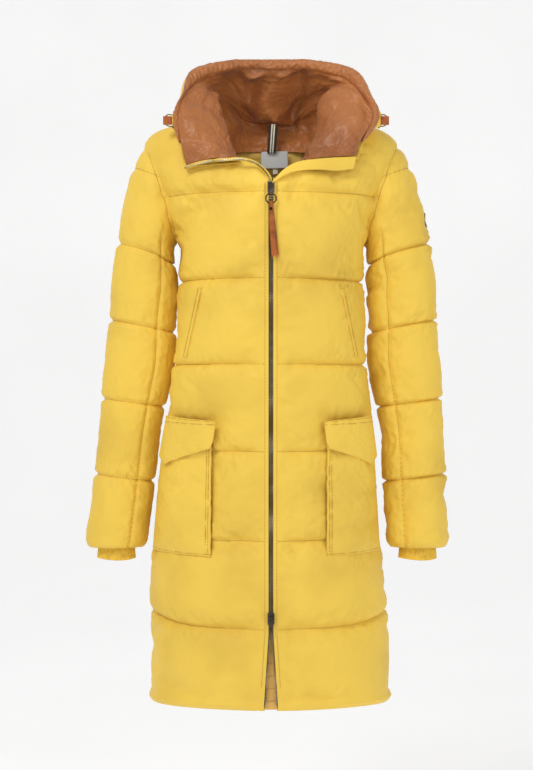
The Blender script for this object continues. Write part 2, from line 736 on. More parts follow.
def make_body_panels():
    inward = -BODY_OUT[:, 0] * np.array([1, 1, 0])
    full = returned(BODY_CLOTH, inward, [(0.003, -0.004), (0.008, -0.004), (0.0105, 0.002)], at_end=False)
    spans = {"front_right": (0, SIDE_A), "back": (SIDE_A, SIDE_B), "front_left": (SIDE_B, len(full) - 1)}
    for name, (low, high) in spans.items():
        part = full[low: high + 1]
        if name == "front_right":
            part = np.concatenate([curl_edge(part[0]), part])
        if name == "front_left":
            part = np.concatenate([part, curl_edge(part[-1])[::-1]])
        obj = cloth_piece(f"quilted_{name}", part, 0.0012, SHELL, "coat", flip=True, levels=0,
                          cut=in_neck_or_sleeve)
        nodes = {"front_right": ("front_shell_right", "front_wadding_right"),
                 "back": ("back_shell", "back_wadding"),
                 "front_left": ("front_shell_left", "front_wadding_left")}[name]
        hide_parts(*nodes)


def curl_edge(edge):
    """Two columns that turn the zip edge inward."""
    return np.stack([edge + (0, 0.009, 0), edge + (0, 0.004, 0)])


make_body_panels()


# ---------------------------------------------------------------- sleeves

def surface_of(grid, flip=False):
    """A search tree of a grid's faces."""
    columns, rows = grid.shape[:2]
    number = np.arange(columns * rows).reshape(columns, rows)
    a, b = number[:-1, :-1], number[1:, :-1]
    c, d = number[1:, 1:], number[:-1, 1:]
    faces = np.stack([a, d, c, b] if flip else [a, b, c, d], axis=-1).reshape(-1, 4)
    return BVHTree.FromPolygons([Vector(v) for v in grid.reshape(-1, 3)], faces.tolist())


BODY_TREE = surface_of(BODY_CLOTH, flip=True)


def sew_to_body(grid, rings=5, sink=0.0035):
    """Draws a sleeve's first rings onto the body's surface, fading out along the sleeve."""
    out = grid.copy()
    shift = []
    for point in grid[:, 0]:
        place, normal, _, _ = BODY_TREE.find_nearest(Vector(point))
        shift.append(np.array(place) - np.array(normal) * sink - point)
    shift = np.array(shift)
    for ring in range(rings):
        out[:, ring] += shift * (1 - smoothstep(ring / rings))
    return out


SLEEVE_Y = 3
# The left sleeve hangs a little further out at the upper arm and further in at the cuff,
# and the right one a little further in at the upper arm.
SLEEVE_HEIGHTS = (113, 150, 200, 240, 280, 330, 391, 487, 577, 679)
SLEEVE_LEAN = {"left": (0, 0, 1, 7, 6, 6, 4, 1, -4, -12), "right": (0, -3, -4, -3, -2, 0, 0, 0, 0, 0)}
# Each seam's height at the sleeve's middle, and how much higher it runs on the outer side.
SLEEVE_SEAMS = ((-215, 16.5), (-331, 10), (-453, 7), (-572, 6))
# The short seam over the sleeve's cap: where it leaves the armhole, and how far it rises.
CAP_SEAM, CAP_RISE = -105, 26


def sleeve_grid(side, columns=66):
    """Rings from the armhole to the sleeve's end. Angle 0 is the top, then the outer side."""
    sign = SIDES[side]
    line = catmull(SLEEVE, 30)
    line[:, 1] += np.interp(-line[:, 0], SLEEVE_HEIGHTS, SLEEVE_LEAN[side])
    angle = np.linspace(0, 2 * math.pi, columns, endpoint=False)
    tilt = np.radians(line[:, 4])[None]
    across = line[:, 2][None] * np.cos(angle)[:, None]
    x = line[:, 1][None] + across * np.cos(tilt)
    z = line[:, 0][None] + across * np.sin(tilt)
    y = SLEEVE_Y - line[:, 3][None] * np.sin(angle)[:, None]
    grid = np.stack([sign * x, y, z], axis=-1)
    rows = round(np.linalg.norm(np.diff(grid, axis=1), axis=-1).mean(axis=0).sum() / 5.2)
    return np.swapaxes(even(np.swapaxes(grid, 0, 1), rows), 0, 1), angle


SLEEVE_LINES = {}
SLEEVE_TREES = {}


def row_at(path, height):
    """How many rows down a falling path that height lies, as a fraction."""
    return float(np.interp(-height, -path[:, 2], np.arange(len(path))))


def point_at(path, row):
    """The point that fraction of rows down a path."""
    return np.array([np.interp(row, np.arange(len(path)), path[:, axis]) for axis in range(3)])


def slide_rows(grid, seam_rows, heights):
    """Slides each column's points along it, so that every seam's row lies on the seam's line."""
    rows = grid.shape[1]
    out = grid.copy()
    for column, wanted in enumerate(heights):
        places = [max(3, row_at(grid[column], height)) for height in wanted]
        warped = np.interp(np.arange(rows), [0, *seam_rows, rows - 1], [0, *places, rows - 1])
        out[column] = np.stack([point_at(grid[column], row) for row in warped])
    return out


def yoke_column(grid, ring, front):
    """Which column of a sleeve's ring the body's top seam runs on across, before or behind."""
    off = np.abs(grid[:, ring, 2] + 0.131)
    off[(grid[:, ring, 1] < HANG) != front] = 1
    return int(np.argmin(off))


def blend_at_armhole(obj):
    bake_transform(obj)


def make_sleeve_lining(side, grid, outward, flip):
    """The thin tube inside a sleeve, from its head to just above the cuff's edge."""
    sign = SIDES[side]
    tube = to_place(grid[:, 4:-1] - outward[:, 4:-1] * 9)
    tube += outward[:, 4:-1] * (0.0008 * ripple(tube, 0.05, 51, 2))[..., None]
    obj = cloth_piece(f"sleeve_lining_cloth_{side}", tube, 0.0006, INSIDE, None, wrap=True,
                      flip=flip, levels=0)
    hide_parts(f"sleeve_lining_{side}")
    blend_at_armhole(obj)


def make_sleeve(side):
    sign = SIDES[side]
    grid, angle = sleeve_grid(side)
    columns, rows = grid.shape[:2]
    centre = grid[..., 2].mean(axis=0)
    seam_rows = [int(np.argmin(np.abs(centre - height))) for height, _ in SLEEVE_SEAMS]
    heights = [[height + rise * c for height, rise in SLEEVE_SEAMS] for c in np.cos(angle)]
    grid = slide_rows(grid, seam_rows, heights)
    outward = normals_of(grid, wrap=True)
    middle = grid.mean(axis=0, keepdims=True)
    if ((outward * (grid - middle)).sum(axis=-1)[:, rows // 2]).mean() < 0:
        outward = -outward
    depth = np.zeros((columns, rows))
    pin = np.zeros((columns, rows))
    for row in seam_rows:
        depth[:, row] = -4.5
        pin[:, row] = 1
    for column in np.nonzero(np.cos(angle) > 0.1)[0]:
        row = round(row_at(grid[column], CAP_SEAM + CAP_RISE * math.cos(angle[column])))
        if row > 2:
            depth[column, row] = -2
            pin[column, row] = 1
    pin[:, :1] = 1
    pin[:, -1] = 1
    depth[:, -1] = -2
    long_seam = int(round(columns * 0.335))
    pin[long_seam, 10:] = 1
    depth[long_seam, 10:] -= 2.5
    base = (grid + outward * depth[..., None]) * MM
    base[..., 1] += HANG
    base = sew_to_body(base)
    flip = sign < 0
    after = swell(f"sleeve_cloth_{side}", base, pin, pressure=5.0, grow=0.045, wrap=True, flip=flip,
                  cap=0.016)
    after = soften(after, 1, wrap=True, keep=pin)
    fine, lift = finer(after, True), finer(outward, True)
    seam_rows = [2 * row for row in seam_rows]
    head = 4
    worked = pucker(fine, lift, seam_rows, (), 0.0050, 0.020, 0.017, 43)
    worked = pucker(worked, lift, (), (2 * long_seam,), 0.0036, 0.016, 0.018, 46)
    worked = worked + lift * (0.0013 * ripple(worked, 0.07, 47, 3))[..., None]
    worked = groove(worked, lift, seam_rows, (2 * long_seam,), 0.0014)
    ease = smoothstep((np.arange(fine.shape[1]) - 4) / 14)[None, :, None]
    fine = fine + (worked - fine) * ease
    fine = groove(fine, lift, (head,), (), 0.0022)
    yoke = np.exp(-np.abs(fine[:, :head, 2] + 0.131) / 0.003)
    fine[:, :head] -= lift[:, :head] * (0.0024 * yoke)[..., None]
    lines = [fine[:, row] for row in seam_rows + [head]] + [fine[2 * long_seam, 24:-6]]
    lifts = [lift[:, row] for row in seam_rows + [head]] + [lift[2 * long_seam, 24:-6]]
    for front in (True, False):
        way = [yoke_column(fine, ring, front) for ring in range(head)]
        lines.append(np.array([fine[way[ring], ring] for ring in range(head)]))
        lifts.append(np.array([lift[way[ring], ring] for ring in range(head)]))
    top = np.cos(np.linspace(0, 2 * math.pi, len(fine), endpoint=False))
    cap_line = (CAP_SEAM + CAP_RISE * top) * MM
    cap = np.exp(-np.abs(fine[..., 2] - cap_line[:, None]) / 0.003) * smoothstep((top - 0.02) / 0.1)[:, None]
    cap[:, seam_rows[0] - 4:] = 0
    fine = fine - lift * (0.0018 * cap)[..., None]
    over = range(-len(fine) // 4 + 2, len(fine) // 4 - 2)
    lines.append(np.array([point_at(fine[c], row_at(fine[c], cap_line[c])) for c in over]))
    lifts.append(np.array([point_at(lift[c], row_at(fine[c], cap_line[c])) for c in over]))
    SLEEVE_LINES[side] = list(zip(lines, lifts))
    SLEEVE_TREES[side] = surface_of(np.concatenate([fine, fine[:1]]))
    inward = -lift[:, -1] * np.array([1, 1, 0])
    fine = returned(fine, inward, [(0.003, -0.004), (0.007, -0.003), (0.009, 0.004)], at_end=True)
    obj = cloth_piece(f"quilted_sleeve_{side}", fine, 0.0012, SHELL, None, wrap=True, flip=flip,
                      levels=0)
    make_sleeve_lining(side, grid, outward, flip)
    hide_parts(f"sleeve_shell_{side}", f"sleeve_wadding_{side}")
    blend_at_armhole(obj)


for side in SIDES:
    make_sleeve(side)


# ------------------------------------------------------------ hood, lapels

# The hood stands half thrown back. Columns run from the wearer's right lapel
# round the back to the left one, and rows from the open edge to the neck seam.
LINING_NET = np.array([
    [(-130, -101, -88), (-110, -110, -83), (-88, -117, -80.5), (-66, -122, -79.5), (-54, -124, -79.5),
     (-46, -124, -81)],
    [(-139, -99, -50), (-118, -104, -46), (-96, -104, -45), (-73, -98, -50), (-60, -72, -58),
     (-64, -50, -66)],
    [(-143, -88, -10), (-124, -86, -4), (-102, -78, -2), (-76, -58, -4), (-80, -20, -20), (-84, -20, -48)],
    [(-134, -62, 28), (-118, -52, 30), (-98, -38, 28), (-80, -20, 24), (-88, 25, -2), (-86, 10, -42)],
    [(-108, -30, 60), (-100, -14, 53), (-88, 6, 46), (-78, 20, 38), (-62, 72, 4), (-66, 46, -46)],
    [(-62, -8, 78), (-56, 18, 68), (-48, 48, 44), (-40, 80, 22), (-36, 90, 2), (-36, 64, -43)],
    [(-36, -2, 80), (-38, 22, 72), (-34, 52, 46), (-16, 66, 16), (-8, 84, -2), (-16, 70, -43)],
    [(-11, 0, 80), (-12, 20, 71), (-10, 40, 48), (-4, 50, 18), (-2, 72, -8), (-6, 72, -44)],
    [(15, 0, 80), (16, 22, 71), (16, 42, 48), (11, 52, 18), (5, 73, -8), (6, 72, -44)],
    [(40, -2, 80), (42, 24, 72), (38, 54, 46), (22, 68, 16), (12, 84, -2), (16, 70, -43)],
    [(66, -8, 78), (58, 18, 68), (52, 48, 46), (44, 80, 24), (36, 90, 2), (36, 64, -43)],
    [(118, -30, 59), (106, -14, 52), (94, 6, 44), (84, 20, 36), (64, 72, 2), (66, 46, -46)],
    [(144, -62, 26), (124, -52, 28), (104, -38, 26), (80, -20, 14), (90, 25, -6), (86, 10, -42)],
    [(157, -88, -12), (132, -86, -6), (106, -78, -8), (76, -58, -18), (80, -20, -30), (84, -20, -48)],
    [(138, -99, -50), (116, -104, -48), (92, -104, -50), (66, -100, -56), (56, -72, -62), (64, -50, -66)],
    [(131, -102, -73), (108, -111, -75), (84, -117, -77), (60, -122, -80), (50, -124, -82), (44, -125, -84)],
], float)
SHELL_NET = np.array([
    [(-132, -98, -93), (-112, -100, -90), (-90, -106, -89), (-68, -111, -88), (-56, -113, -87),
     (-48, -114, -88)],
    [(-142, -93, -52), (-128, -84, -44), (-108, -84, -42), (-90, -80, -42), (-78, -70, -44),
     (-74, -60, -50)],
    [(-149, -84, -12), (-155, -66, -17), (-142, -52, -18), (-124, -45, -20), (-105, -35, -20),
     (-95, -25, -20)],
    [(-139, -64, 27), (-141, -34, 8), (-140, -4, -4), (-132, 12, -14), (-122, 8, -20), (-102, 4, -24)],
    [(-124, -31, 73), (-126, 12, 60), (-132, 56, 36), (-128, 78, 2), (-122, 66, -16), (-98, 44, -28)],
    [(-66, -6, 93), (-76, 60, 84), (-86, 118, 68), (-86, 146, 30), (-74, 124, -14), (-60, 84, -30)],
    [(-24, -3, 95), (-26, 64, 87), (-28, 130, 72), (-28, 157, 31), (-24, 135, -18), (-20, 88, -31)],
    [(0, -2, 95), (0, 65, 87), (0, 132, 73), (0, 158, 32), (0, 137, -18), (0, 88, -31)],
    [(26, -3, 95), (26, 64, 87), (28, 130, 72), (28, 157, 31), (24, 135, -18), (20, 88, -31)],
    [(70, -6, 93), (78, 60, 84), (88, 118, 68), (88, 146, 30), (74, 124, -14), (60, 84, -30)],
    [(134, -31, 72), (134, 12, 60), (138, 56, 36), (132, 78, 2), (122, 66, -16), (98, 44, -28)],
    [(157, -64, 26), (155, -34, 8), (148, -4, -4), (138, 12, -14), (122, 8, -20), (102, 4, -24)],
    [(167, -84, -12), (173, -66, -18), (150, -52, -20), (124, -45, -20), (105, -35, -20), (95, -25, -20)],
    [(143, -93, -52), (128, -84, -46), (108, -84, -44), (88, -80, -44), (76, -70, -46), (74, -60, -52)],
    [(134, -98, -78), (110, -100, -78), (86, -106, -80), (62, -111, -82), (52, -113, -84), (46, -114, -86)],
], float)


def make_hood_lining():
    """One sheet of satin from lapel to lapel, with slack that settles into folds."""
    columns, rows = 190, 74
    grid = to_place(patch(LINING_NET, columns, rows))
    outward = normals_of(grid)
    if outward[:, rows // 3, 1].mean() > 0:
        outward = -outward
    u = np.linspace(0, 1, columns)[:, None]
    v = np.linspace(0, 1, rows)[None, :]
    radial = ripple(np.stack([u * 9 + 0 * v, v * 1.6 + 0 * u, 0 * u * v], axis=-1), 1.0, 3, 2)
    across = ripple(np.stack([u * 4 + 0 * v, v * 5 + 0 * u, 0 * u * v], axis=-1), 1.0, 11, 2)
    hood = smoothstep((grid[..., 2] + 0.03) / 0.05)
    fan = np.stack([u * 7 + 0.8 * v, v * 1.1 + 0 * u, 0 * u * v], axis=-1)
    pleat = 0.5 - 1.8 * np.abs(ripple(fan, 1.0, 17, 1))
    depth = 0.0085 * radial * hood + 0.0036 * across + 0.0055 * pleat * (0.4 + 0.6 * hood)
    depth = depth * smoothstep(v / 0.08) * smoothstep((1 - v) / 0.1)
    grid = grid + outward * depth[..., None]
    pin = np.zeros((columns, rows))
    pin[:, 0] = 1
    pin[:, -1] = 1
    pin[0] = 1
    pin[-1] = 1
    after = swell("lining_cloth", grid, pin, pressure=0.6, grow=0.055, flip=LINING_FLIP, cap=0.012,
                  bend=0.15, frames=24)
    obj = cloth_piece("hood_lining_satin", after, 0.0008, LINING, None, flip=LINING_FLIP)
    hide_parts("hood_lining", "lapel_lining_right", "lapel_lining_left")
    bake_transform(obj)
    return after, outward


LINING_FLIP = True
SHELL_FLIP = False


def make_hood_shell():
    columns, rows = 150, 56
    grid = to_place(patch(SHELL_NET, columns, rows))
    outward = normals_of(grid)
    if outward[columns // 2, rows // 3, 2] < 0:
        outward = -outward
    pin = np.zeros((columns, rows))
    depth = np.zeros((columns, rows))
    for row in (round(rows * 0.36), round(rows * 0.68)):
        pin[16:-16, row] = 1
        depth[16:-16, row] = -0.004
    for column in (round(columns * 0.37), round(columns * 0.63)):
        pin[column] = 1
        depth[column] -= 0.003
    pin[:, 0] = pin[:, -1] = 1
    pin[0] = pin[-1] = 1
    grid = grid + outward * depth[..., None]
    after = swell("hood_cloth", grid, pin, pressure=4.0, grow=0.035, flip=SHELL_FLIP, cap=0.010)
    after = soften(after, 1)
    obj = cloth_piece("hood_shell_nylon", after, 0.0012, SHELL, None, flip=SHELL_FLIP)
    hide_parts("hood_shell", "hood_wadding", "lapel_shell_right", "lapel_shell_left",
                "lapel_wadding_right", "lapel_wadding_left")
    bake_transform(obj)


def make_brim():
    """The gathered drawcord tunnel just inside the hood's open edge."""
    edge = to_place(catmull(SHELL_NET[1:-1, 0], 30))
    inner = to_place(catmull(LINING_NET[1:-1, 0], 30))
    count = 340
    edge, inner = even(edge, count), even(inner, count)
    middle = (edge + inner) / 2
    across = inner - edge
    half = np.linalg.norm(across, axis=1, keepdims=True) / 2
    across /= 2 * half
    along = np.gradient(middle, axis=0)
    along /= np.linalg.norm(along, axis=1, keepdims=True)
    face = np.cross(along, across)
    face *= np.where(face[:, 1:2] > 0, -1, 1)
    columns = 28
    angle = np.linspace(0, 2 * math.pi, columns, endpoint=False)
    u = np.linspace(0, 1, count)
    length = np.linalg.norm(np.diff(middle, axis=0), axis=1).sum()
    place = np.stack([np.repeat(u[None] * length / 0.013, columns, 0),
                      np.repeat(angle[:, None] * 0.35, count, 1), np.zeros((columns, count))], axis=-1)
    gather = ripple(place, 1.0, 21, 3)
    gather = gather + 0.8 * np.abs(ripple(place * 1.7, 1.0, 23, 2))
    fade = smoothstep(np.minimum(u, 1 - u) / 0.05)[None]
    wide = half[:, 0][None] * (1.05 + 0.06 * gather) * (0.35 + 0.65 * fade)
    thick = 0.0064 * (1 + 0.42 * gather) * (0.3 + 0.7 * fade)
    grid = (middle[None] + across[None] * (wide * np.cos(angle)[:, None])[..., None]
            + face[None] * (thick * np.sin(angle)[:, None])[..., None])
    obj = closed_tube("hood_brim_gathered", grid, LINING)
    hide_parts("hood_brim_tunnel", "hood_drawcord")
    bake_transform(obj)


def closed_tube(name, grid, material, levels=1):
    """A tube of columns round and rows along, closed at both ends."""
    obj = grid_object(name, grid, wrap=True)
    work = bmesh.new()
    work.from_mesh(obj.data)
    ends = [e for e in work.edges if e.is_boundary]
    bmesh.ops.holes_fill(work, edges=ends, sides=0)
    bmesh.ops.recalc_face_normals(work, faces=work.faces)
    work.to_mesh(obj.data)
    work.free()
    if levels:
        finer = obj.modifiers.new("finer", "SUBSURF")
        finer.levels = levels
        apply_modifiers(obj)
    smooth_shade(obj)
    obj.data.materials.append(material)
    return obj


make_hood_lining()
make_hood_shell()
make_brim()


# ---------------------------------------------------------------- pockets

def body_angle(x, z, out):
    """How far round the body from its front middle a point of the front lies."""
    half = float(body_stations(z)[0])
    return math.asin(max(-1, min(1, x / (half + out))))


def side_line(corners, rows, out):
    """Even steps of (angle, height) along a panel's side through its (x, z) corners."""
    line = even(np.array(corners, float), rows)
    return np.array([(body_angle(x, z, out), z) for x, z in line])


def front_patch(name, inner, outer, columns, rows, out, bulge, material, body, thick, kind):
    """A padded panel over the body's front, between two side lines of (x, z) corners that
    run from its top to its bottom. It lies out millimetres from the body's outline."""
    u = np.linspace(0, 1, columns)[:, None, None]
    v = np.linspace(0, 1, rows)[None, :, None]
    flat = side_line(inner, rows, out)[None] * (1 - u) + side_line(outer, rows, out)[None] * u
    angle, z = flat[..., 0], flat[..., 1]
    half, depth, middle = body_stations(z)
    x = (half + out) * np.sin(angle)
    y = middle - (depth + out) * np.cos(angle)
    x, z = settled(x, z, half + out)
    grid = to_place(np.stack([x, y, z], axis=-1))
    outward = normals_of(grid)
    outward *= np.sign(-outward[..., 1:2].mean())
    edge = np.minimum(np.minimum(u, 1 - u)[..., 0] * 7, np.minimum(v, 1 - v)[..., 0] * 9)
    dome = smoothstep(edge)
    grid = grid + outward * (bulge * MM * dome)[..., None]
    pin = np.zeros((columns, rows))
    pin[0] = pin[-1] = 1
    pin[:, 0] = pin[:, -1] = 1
    flip = np.cross(grid[1, 0] - grid[0, 0], grid[0, 1] - grid[0, 0])[1] > 0
    after = swell(name + "_cloth", grid, pin, pressure=2.0, grow=0.025, flip=flip, cap=0.005, bend=0.6)
    wrinkle = 0.0007 * ripple(after, 0.045, 61, 2) * dome
    after = after + outward * wrinkle[..., None]
    obj = cloth_piece(name, after, thick, material, None if kind == "flap" else body, flip=flip)
    for edge_name, inset in STITCH_INSETS[kind]:
        line = patch_line(after, edge_name, inset)
        lift = outward_line(line)
        STITCHES.setdefault(body, []).append((line + lift * 0.0003, lift))
    return obj


# Which edges of a pocket's parts are top-stitched, and how many grid steps in from the edge.
STITCH_INSETS = {"flap": (("top", 1), ("top", 4)), "bag": (("inner", 1), ("inner", 2), ("bottom", 1)),
                 "welt": (("inner", 1), ("outer", 1))}
STITCHES = {}


def patch_line(grid, edge, inset):
    rows = {"top": grid[:, inset], "bottom": grid[:, -1 - inset],
            "inner": grid[inset, 1:-1], "outer": grid[-1 - inset, 1:-1]}
    line = rows[edge]
    for _ in range(6):
        line = np.concatenate([line[:1], (line[:-2] + line[2:]) / 2, line[-1:]])
    return line


def outward_line(line):
    """Which way is out of the coat at each point of a line: away from its middle axis."""
    away = line - np.array([0, HANG, 0])
    away[:, 2] = 0
    return away / np.linalg.norm(away, axis=1, keepdims=True)


def mirror(corners, sign):
    return [(sign * x, z) for x, z in corners]


BAG_INNER, BAG_OUTER = ((89, -487), (89, -687)), ((163, -485), (172, -577), (180, -684))
FLAP_INNER = ((82.5, -480), (86.5, -512), (91, -522))
FLAP_OUTER = ((160, -472), (171, -536), (162, -548))
WELT_INNER, WELT_OUTER = ((105, -274), (129, -382)), ((112, -274), (136, -382))


def blend_at_flap(obj):
    """The flap's sewn edge stays on the coat, and the rest of it turns."""
    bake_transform(obj)


def make_pockets(side):
    sign = SIDES[side]
    bag = front_patch(f"patch_pocket_bag_{side}", mirror(BAG_INNER, sign), mirror(BAG_OUTER, sign), 40, 56,
                      1.0, 2.6, SHELL, "coat", 0.003, "bag")
    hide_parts(f"patch_pocket_{side}")
    flap = front_patch(f"pocket_flap_padded_{side}", mirror(FLAP_INNER, sign), mirror(FLAP_OUTER, sign),
                       40, 32, 10.5, 1.6, SHELL, f"{side}_flap", 0.0028, "flap")
    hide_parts(f"pocket_flap_{side}")
    blend_at_flap(flap)
    make_welt(side)


def make_welt(side):
    """The narrow welt of a hand pocket, laid on the body's cloth."""
    sign = SIDES[side]
    inner = even(np.array(mirror(WELT_INNER, sign), float), 40)
    outer = even(np.array(mirror(WELT_OUTER, sign), float), 40)
    u = np.linspace(0, 1, 8)[:, None, None]
    flat = inner[None] * (1 - u) + outer[None] * u
    grid = np.zeros((8, 40, 3))
    crown = np.sin(np.linspace(0, math.pi, 8))
    for i in range(8):
        for j in range(40):
            x, z = flat[i, j] * MM
            place, _, _, _ = BODY_TREE.ray_cast(Vector((x, HANG - 0.4, z)), Vector((0, 1, 0)))
            grid[i, j] = (x, place.y - 0.0012 - 0.0012 * crown[i], z)
    flip = np.cross(grid[1, 0] - grid[0, 0], grid[0, 1] - grid[0, 0])[1] > 0
    welt = cloth_piece(f"hand_pocket_welt_strip_{side}", grid, 0.0014, SHELL, "coat", flip=flip)
    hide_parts(f"hand_pocket_welt_{side}", f"hand_pocket_bag_{side}")
    for edge_name, inset in STITCH_INSETS["welt"]:
        line = patch_line(grid, edge_name, inset)
        lift = outward_line(line)
        STITCHES.setdefault("coat", []).append((line + lift * 0.0004, lift))


for side in SIDES:
    make_pockets(side)


# --------------------------------------------------------- lapel edge strips

# Where the front edges fold open above the slider: the right one shows its zip
# teeth along its lower edge, the left one a plain strip of shell cloth.
RIGHT_EDGE = np.array([(-131, -105, -92), (-112, -113, -87), (-90, -120, -84), (-68, -125, -83),
                       (-52, -129, -82.5),
                       (-38, -133, -84), (-26, -135, -88), (-17, -137, -94), (-9, -138.5, -102),
                       (-3, -139, -111), (-1.5, -138.5, -118)], float)
LEFT_TOP = np.array([(3, -139, -116), (9, -138.5, -109), (19, -137, -99), (32, -133, -90), (46, -129, -84.5),
                     (70, -125, -81), (96, -118, -78), (131, -106, -75)], float)
LEFT_LOW = np.array([(2, -139.5, -120), (10, -139.5, -115), (24, -138, -106), (40, -134, -101),
                     (58, -130, -98.5),
                     (80, -125, -98), (102, -117, -98.5), (127, -106, -94)], float)


def frames_along(line):
    """Unit steps along a line, and the directions that face out of the coat and across."""
    along = np.gradient(line, axis=0)
    along /= np.linalg.norm(along, axis=1, keepdims=True)
    out = np.tile([0.0, -1.0, 0.0], (len(line), 1))
    out -= along * (out * along).sum(axis=1, keepdims=True)
    out /= np.linalg.norm(out, axis=1, keepdims=True)
    return along, out, np.cross(along, out)


def block_row(name, places, along, out, across, size, material, body):
    """One small rounded block at each place: size is its length along, across and out."""
    base = []
    for a, share in ((-1, 0.72), (-0.55, 1), (0.55, 1), (1, 0.72)):
        for angle in np.linspace(0, 2 * math.pi, 8, endpoint=False):
            round_x = np.sign(math.cos(angle)) * abs(math.cos(angle)) ** 0.5
            round_y = np.sign(math.sin(angle)) * abs(math.sin(angle)) ** 0.5
            base.append((a / 2, share * round_x / 2, share * round_y / 2))
    base = np.array(base) * size
    faces = [tuple(range(7, -1, -1)), tuple(range(24, 32))]
    for ring in range(3):
        for k in range(8):
            here, there = ring * 8 + k, ring * 8 + (k + 1) % 8
            faces.append((here, there, there + 8, here + 8))
    points = (places[:, None] + base[None, :, 0:1] * along[:, None] + base[None, :, 1:2] * across[:, None]
              + base[None, :, 2:3] * out[:, None])
    every = [tuple(i + 32 * k for i in face) for k in range(len(places)) for face in faces]
    mesh = bpy.data.meshes.new(name)
    mesh.from_pydata(points.reshape(-1, 3).tolist(), [], every)
    obj = bpy.data.objects.new(name, mesh)
    bpy.context.scene.collection.objects.link(obj)
    work = bmesh.new()
    work.from_mesh(mesh)
    bmesh.ops.recalc_face_normals(work, faces=work.faces)
    work.to_mesh(mesh)
    work.free()
    mesh.materials.append(material)
    if body:
        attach(obj, body)
    return obj


def ribbon(name, low, high, thick, material, columns=90, rows=7, body="coat", swell_out=0.0):
    """A strip of cloth between two lines, rounded along both edges."""
    a, b = even(catmull(low, 12), columns), even(catmull(high, 12), columns)
    v = np.linspace(0, 1, rows)[None, :, None]
    grid = to_place(a[:, None] * (1 - v) + b[:, None] * v)
    crown = np.sin(np.linspace(0, math.pi, rows))[None, :]
    grid[..., 1] -= swell_out * crown
    flip = np.cross(grid[1, 0] - grid[0, 0], grid[0, 1] - grid[0, 0])[1] > 0
    return cloth_piece(name, grid, thick, material, body, flip=flip)


def make_lapel_edges():
    ribbon("lapel_edge_strip_left", LEFT_LOW, LEFT_TOP, 0.003, SHELL, swell_out=0.0012)
    upper = RIGHT_EDGE + np.array([0, 1.5, 3.4])
    upper[-4:] += np.array([3.2, 0, -2.2])
    lower = RIGHT_EDGE + np.array([0, 1.2, -1.6])
    lower[-4:] += np.array([-2.4, 0, 0.6])
    ribbon("lapel_edge_tape_right", lower, upper, 0.0022, SHELL, swell_out=0.0004)
    dense = to_place(catmull(RIGHT_EDGE, 30))
    length = np.linalg.norm(np.diff(dense, axis=0), axis=1).sum()
    places = even(dense, int(length / 0.0035))
    along, out, across = frames_along(places)
    block_row("lapel_zip_teeth_right", places + out * 0.0008, along, out, across,
              (0.0019, 0.0032, 0.0026), DARK_METAL, "coat")


make_lapel_edges()


# ------------------------------------------------------------------ cuffs

def make_cuff(side):
    """A rib-knit cuff: raised ribs round a short tube that narrows to the wrist."""
    low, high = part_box(f"rib_cuff_{side}")
    middle = (low + high) / 2
    half_x, half_y = (high.x - low.x) / 2, (high.y - low.y) / 2
    ribs, each, rows = 54, 6, 26
    angle = np.linspace(0, 2 * math.pi, ribs * each, endpoint=False)[:, None]
    level = np.linspace(0, 1, rows)[None, :]
    rib = 0.0008 * np.cos(angle * ribs)
    pull = 1 - 0.05 * np.sin(level * math.pi)
    x = middle.x + (half_x * pull + rib - 0.0008) * np.cos(angle)
    y = middle.y + (half_y * pull + rib - 0.0008) * np.sin(angle)
    z = low.z + (high.z - low.z) * level + 0 * angle + 0.0012 * np.sin(angle * 2 + 1) * (1 - level)
    grid = np.stack([x, y, z], axis=-1)
    obj = cloth_piece(f"rib_cuff_knit_{side}", grid, 0.0022, RIB, f"{side}_sleeve", wrap=True,
                      levels=0)
    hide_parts(f"rib_cuff_{side}")


for side in SIDES:
    make_cuff(side)


# -------------------------------------------------------------------- zip

TEETH_LOW, TEETH_HIGH, TEETH_PITCH = -895, -138, 3.5
TEETH_Y, TAPE_Y, GUARD_Y = -133.2, -131.9, -126.3


def make_zip_half(side):
    """One row of teeth on its tape, drawn away from the middle below the lower slider."""
    sign = SIDES[side]
    z = np.arange(TEETH_LOW, TEETH_HIGH, TEETH_PITCH)
    x = sign * (1.75 + zip_spread(z))
    places = to_place(np.stack([x, np.full(len(z), TEETH_Y), z], axis=-1))
    along, out, across = frames_along(places)
    teeth = block_row(f"zip_teeth_row_{side}", places, along, out, across, (0.0017, 0.0030, 0.0040),
                      DARK_METAL, "coat")
    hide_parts(f"zip_teeth_{side}")
    end = to_place(np.array([[x[0], TEETH_Y, TEETH_LOW - 9]]))
    pin = block_row(f"zip_insertion_pin_{side}", end, along[:1], out[:1], across[:1], (0.013, 0.002, 0.0024),
                    DARK_METAL, "coat")
    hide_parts(f"insertion_pin_{side}")
    v = np.linspace(-914, -118, 200)[None, :]
    u = np.linspace(0, 1, 6)[:, None]
    grid = np.stack([sign * (2.4 + 6.5 * u + zip_spread(v)), TAPE_Y + 0 * u * v, v + 0 * u], axis=-1)
    tape = cloth_piece(f"zip_tape_strip_{side}", to_place(grid), 0.0008, TAPE, "coat", flip=sign > 0,
                       levels=0)
    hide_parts(f"zip_tape_{side}")


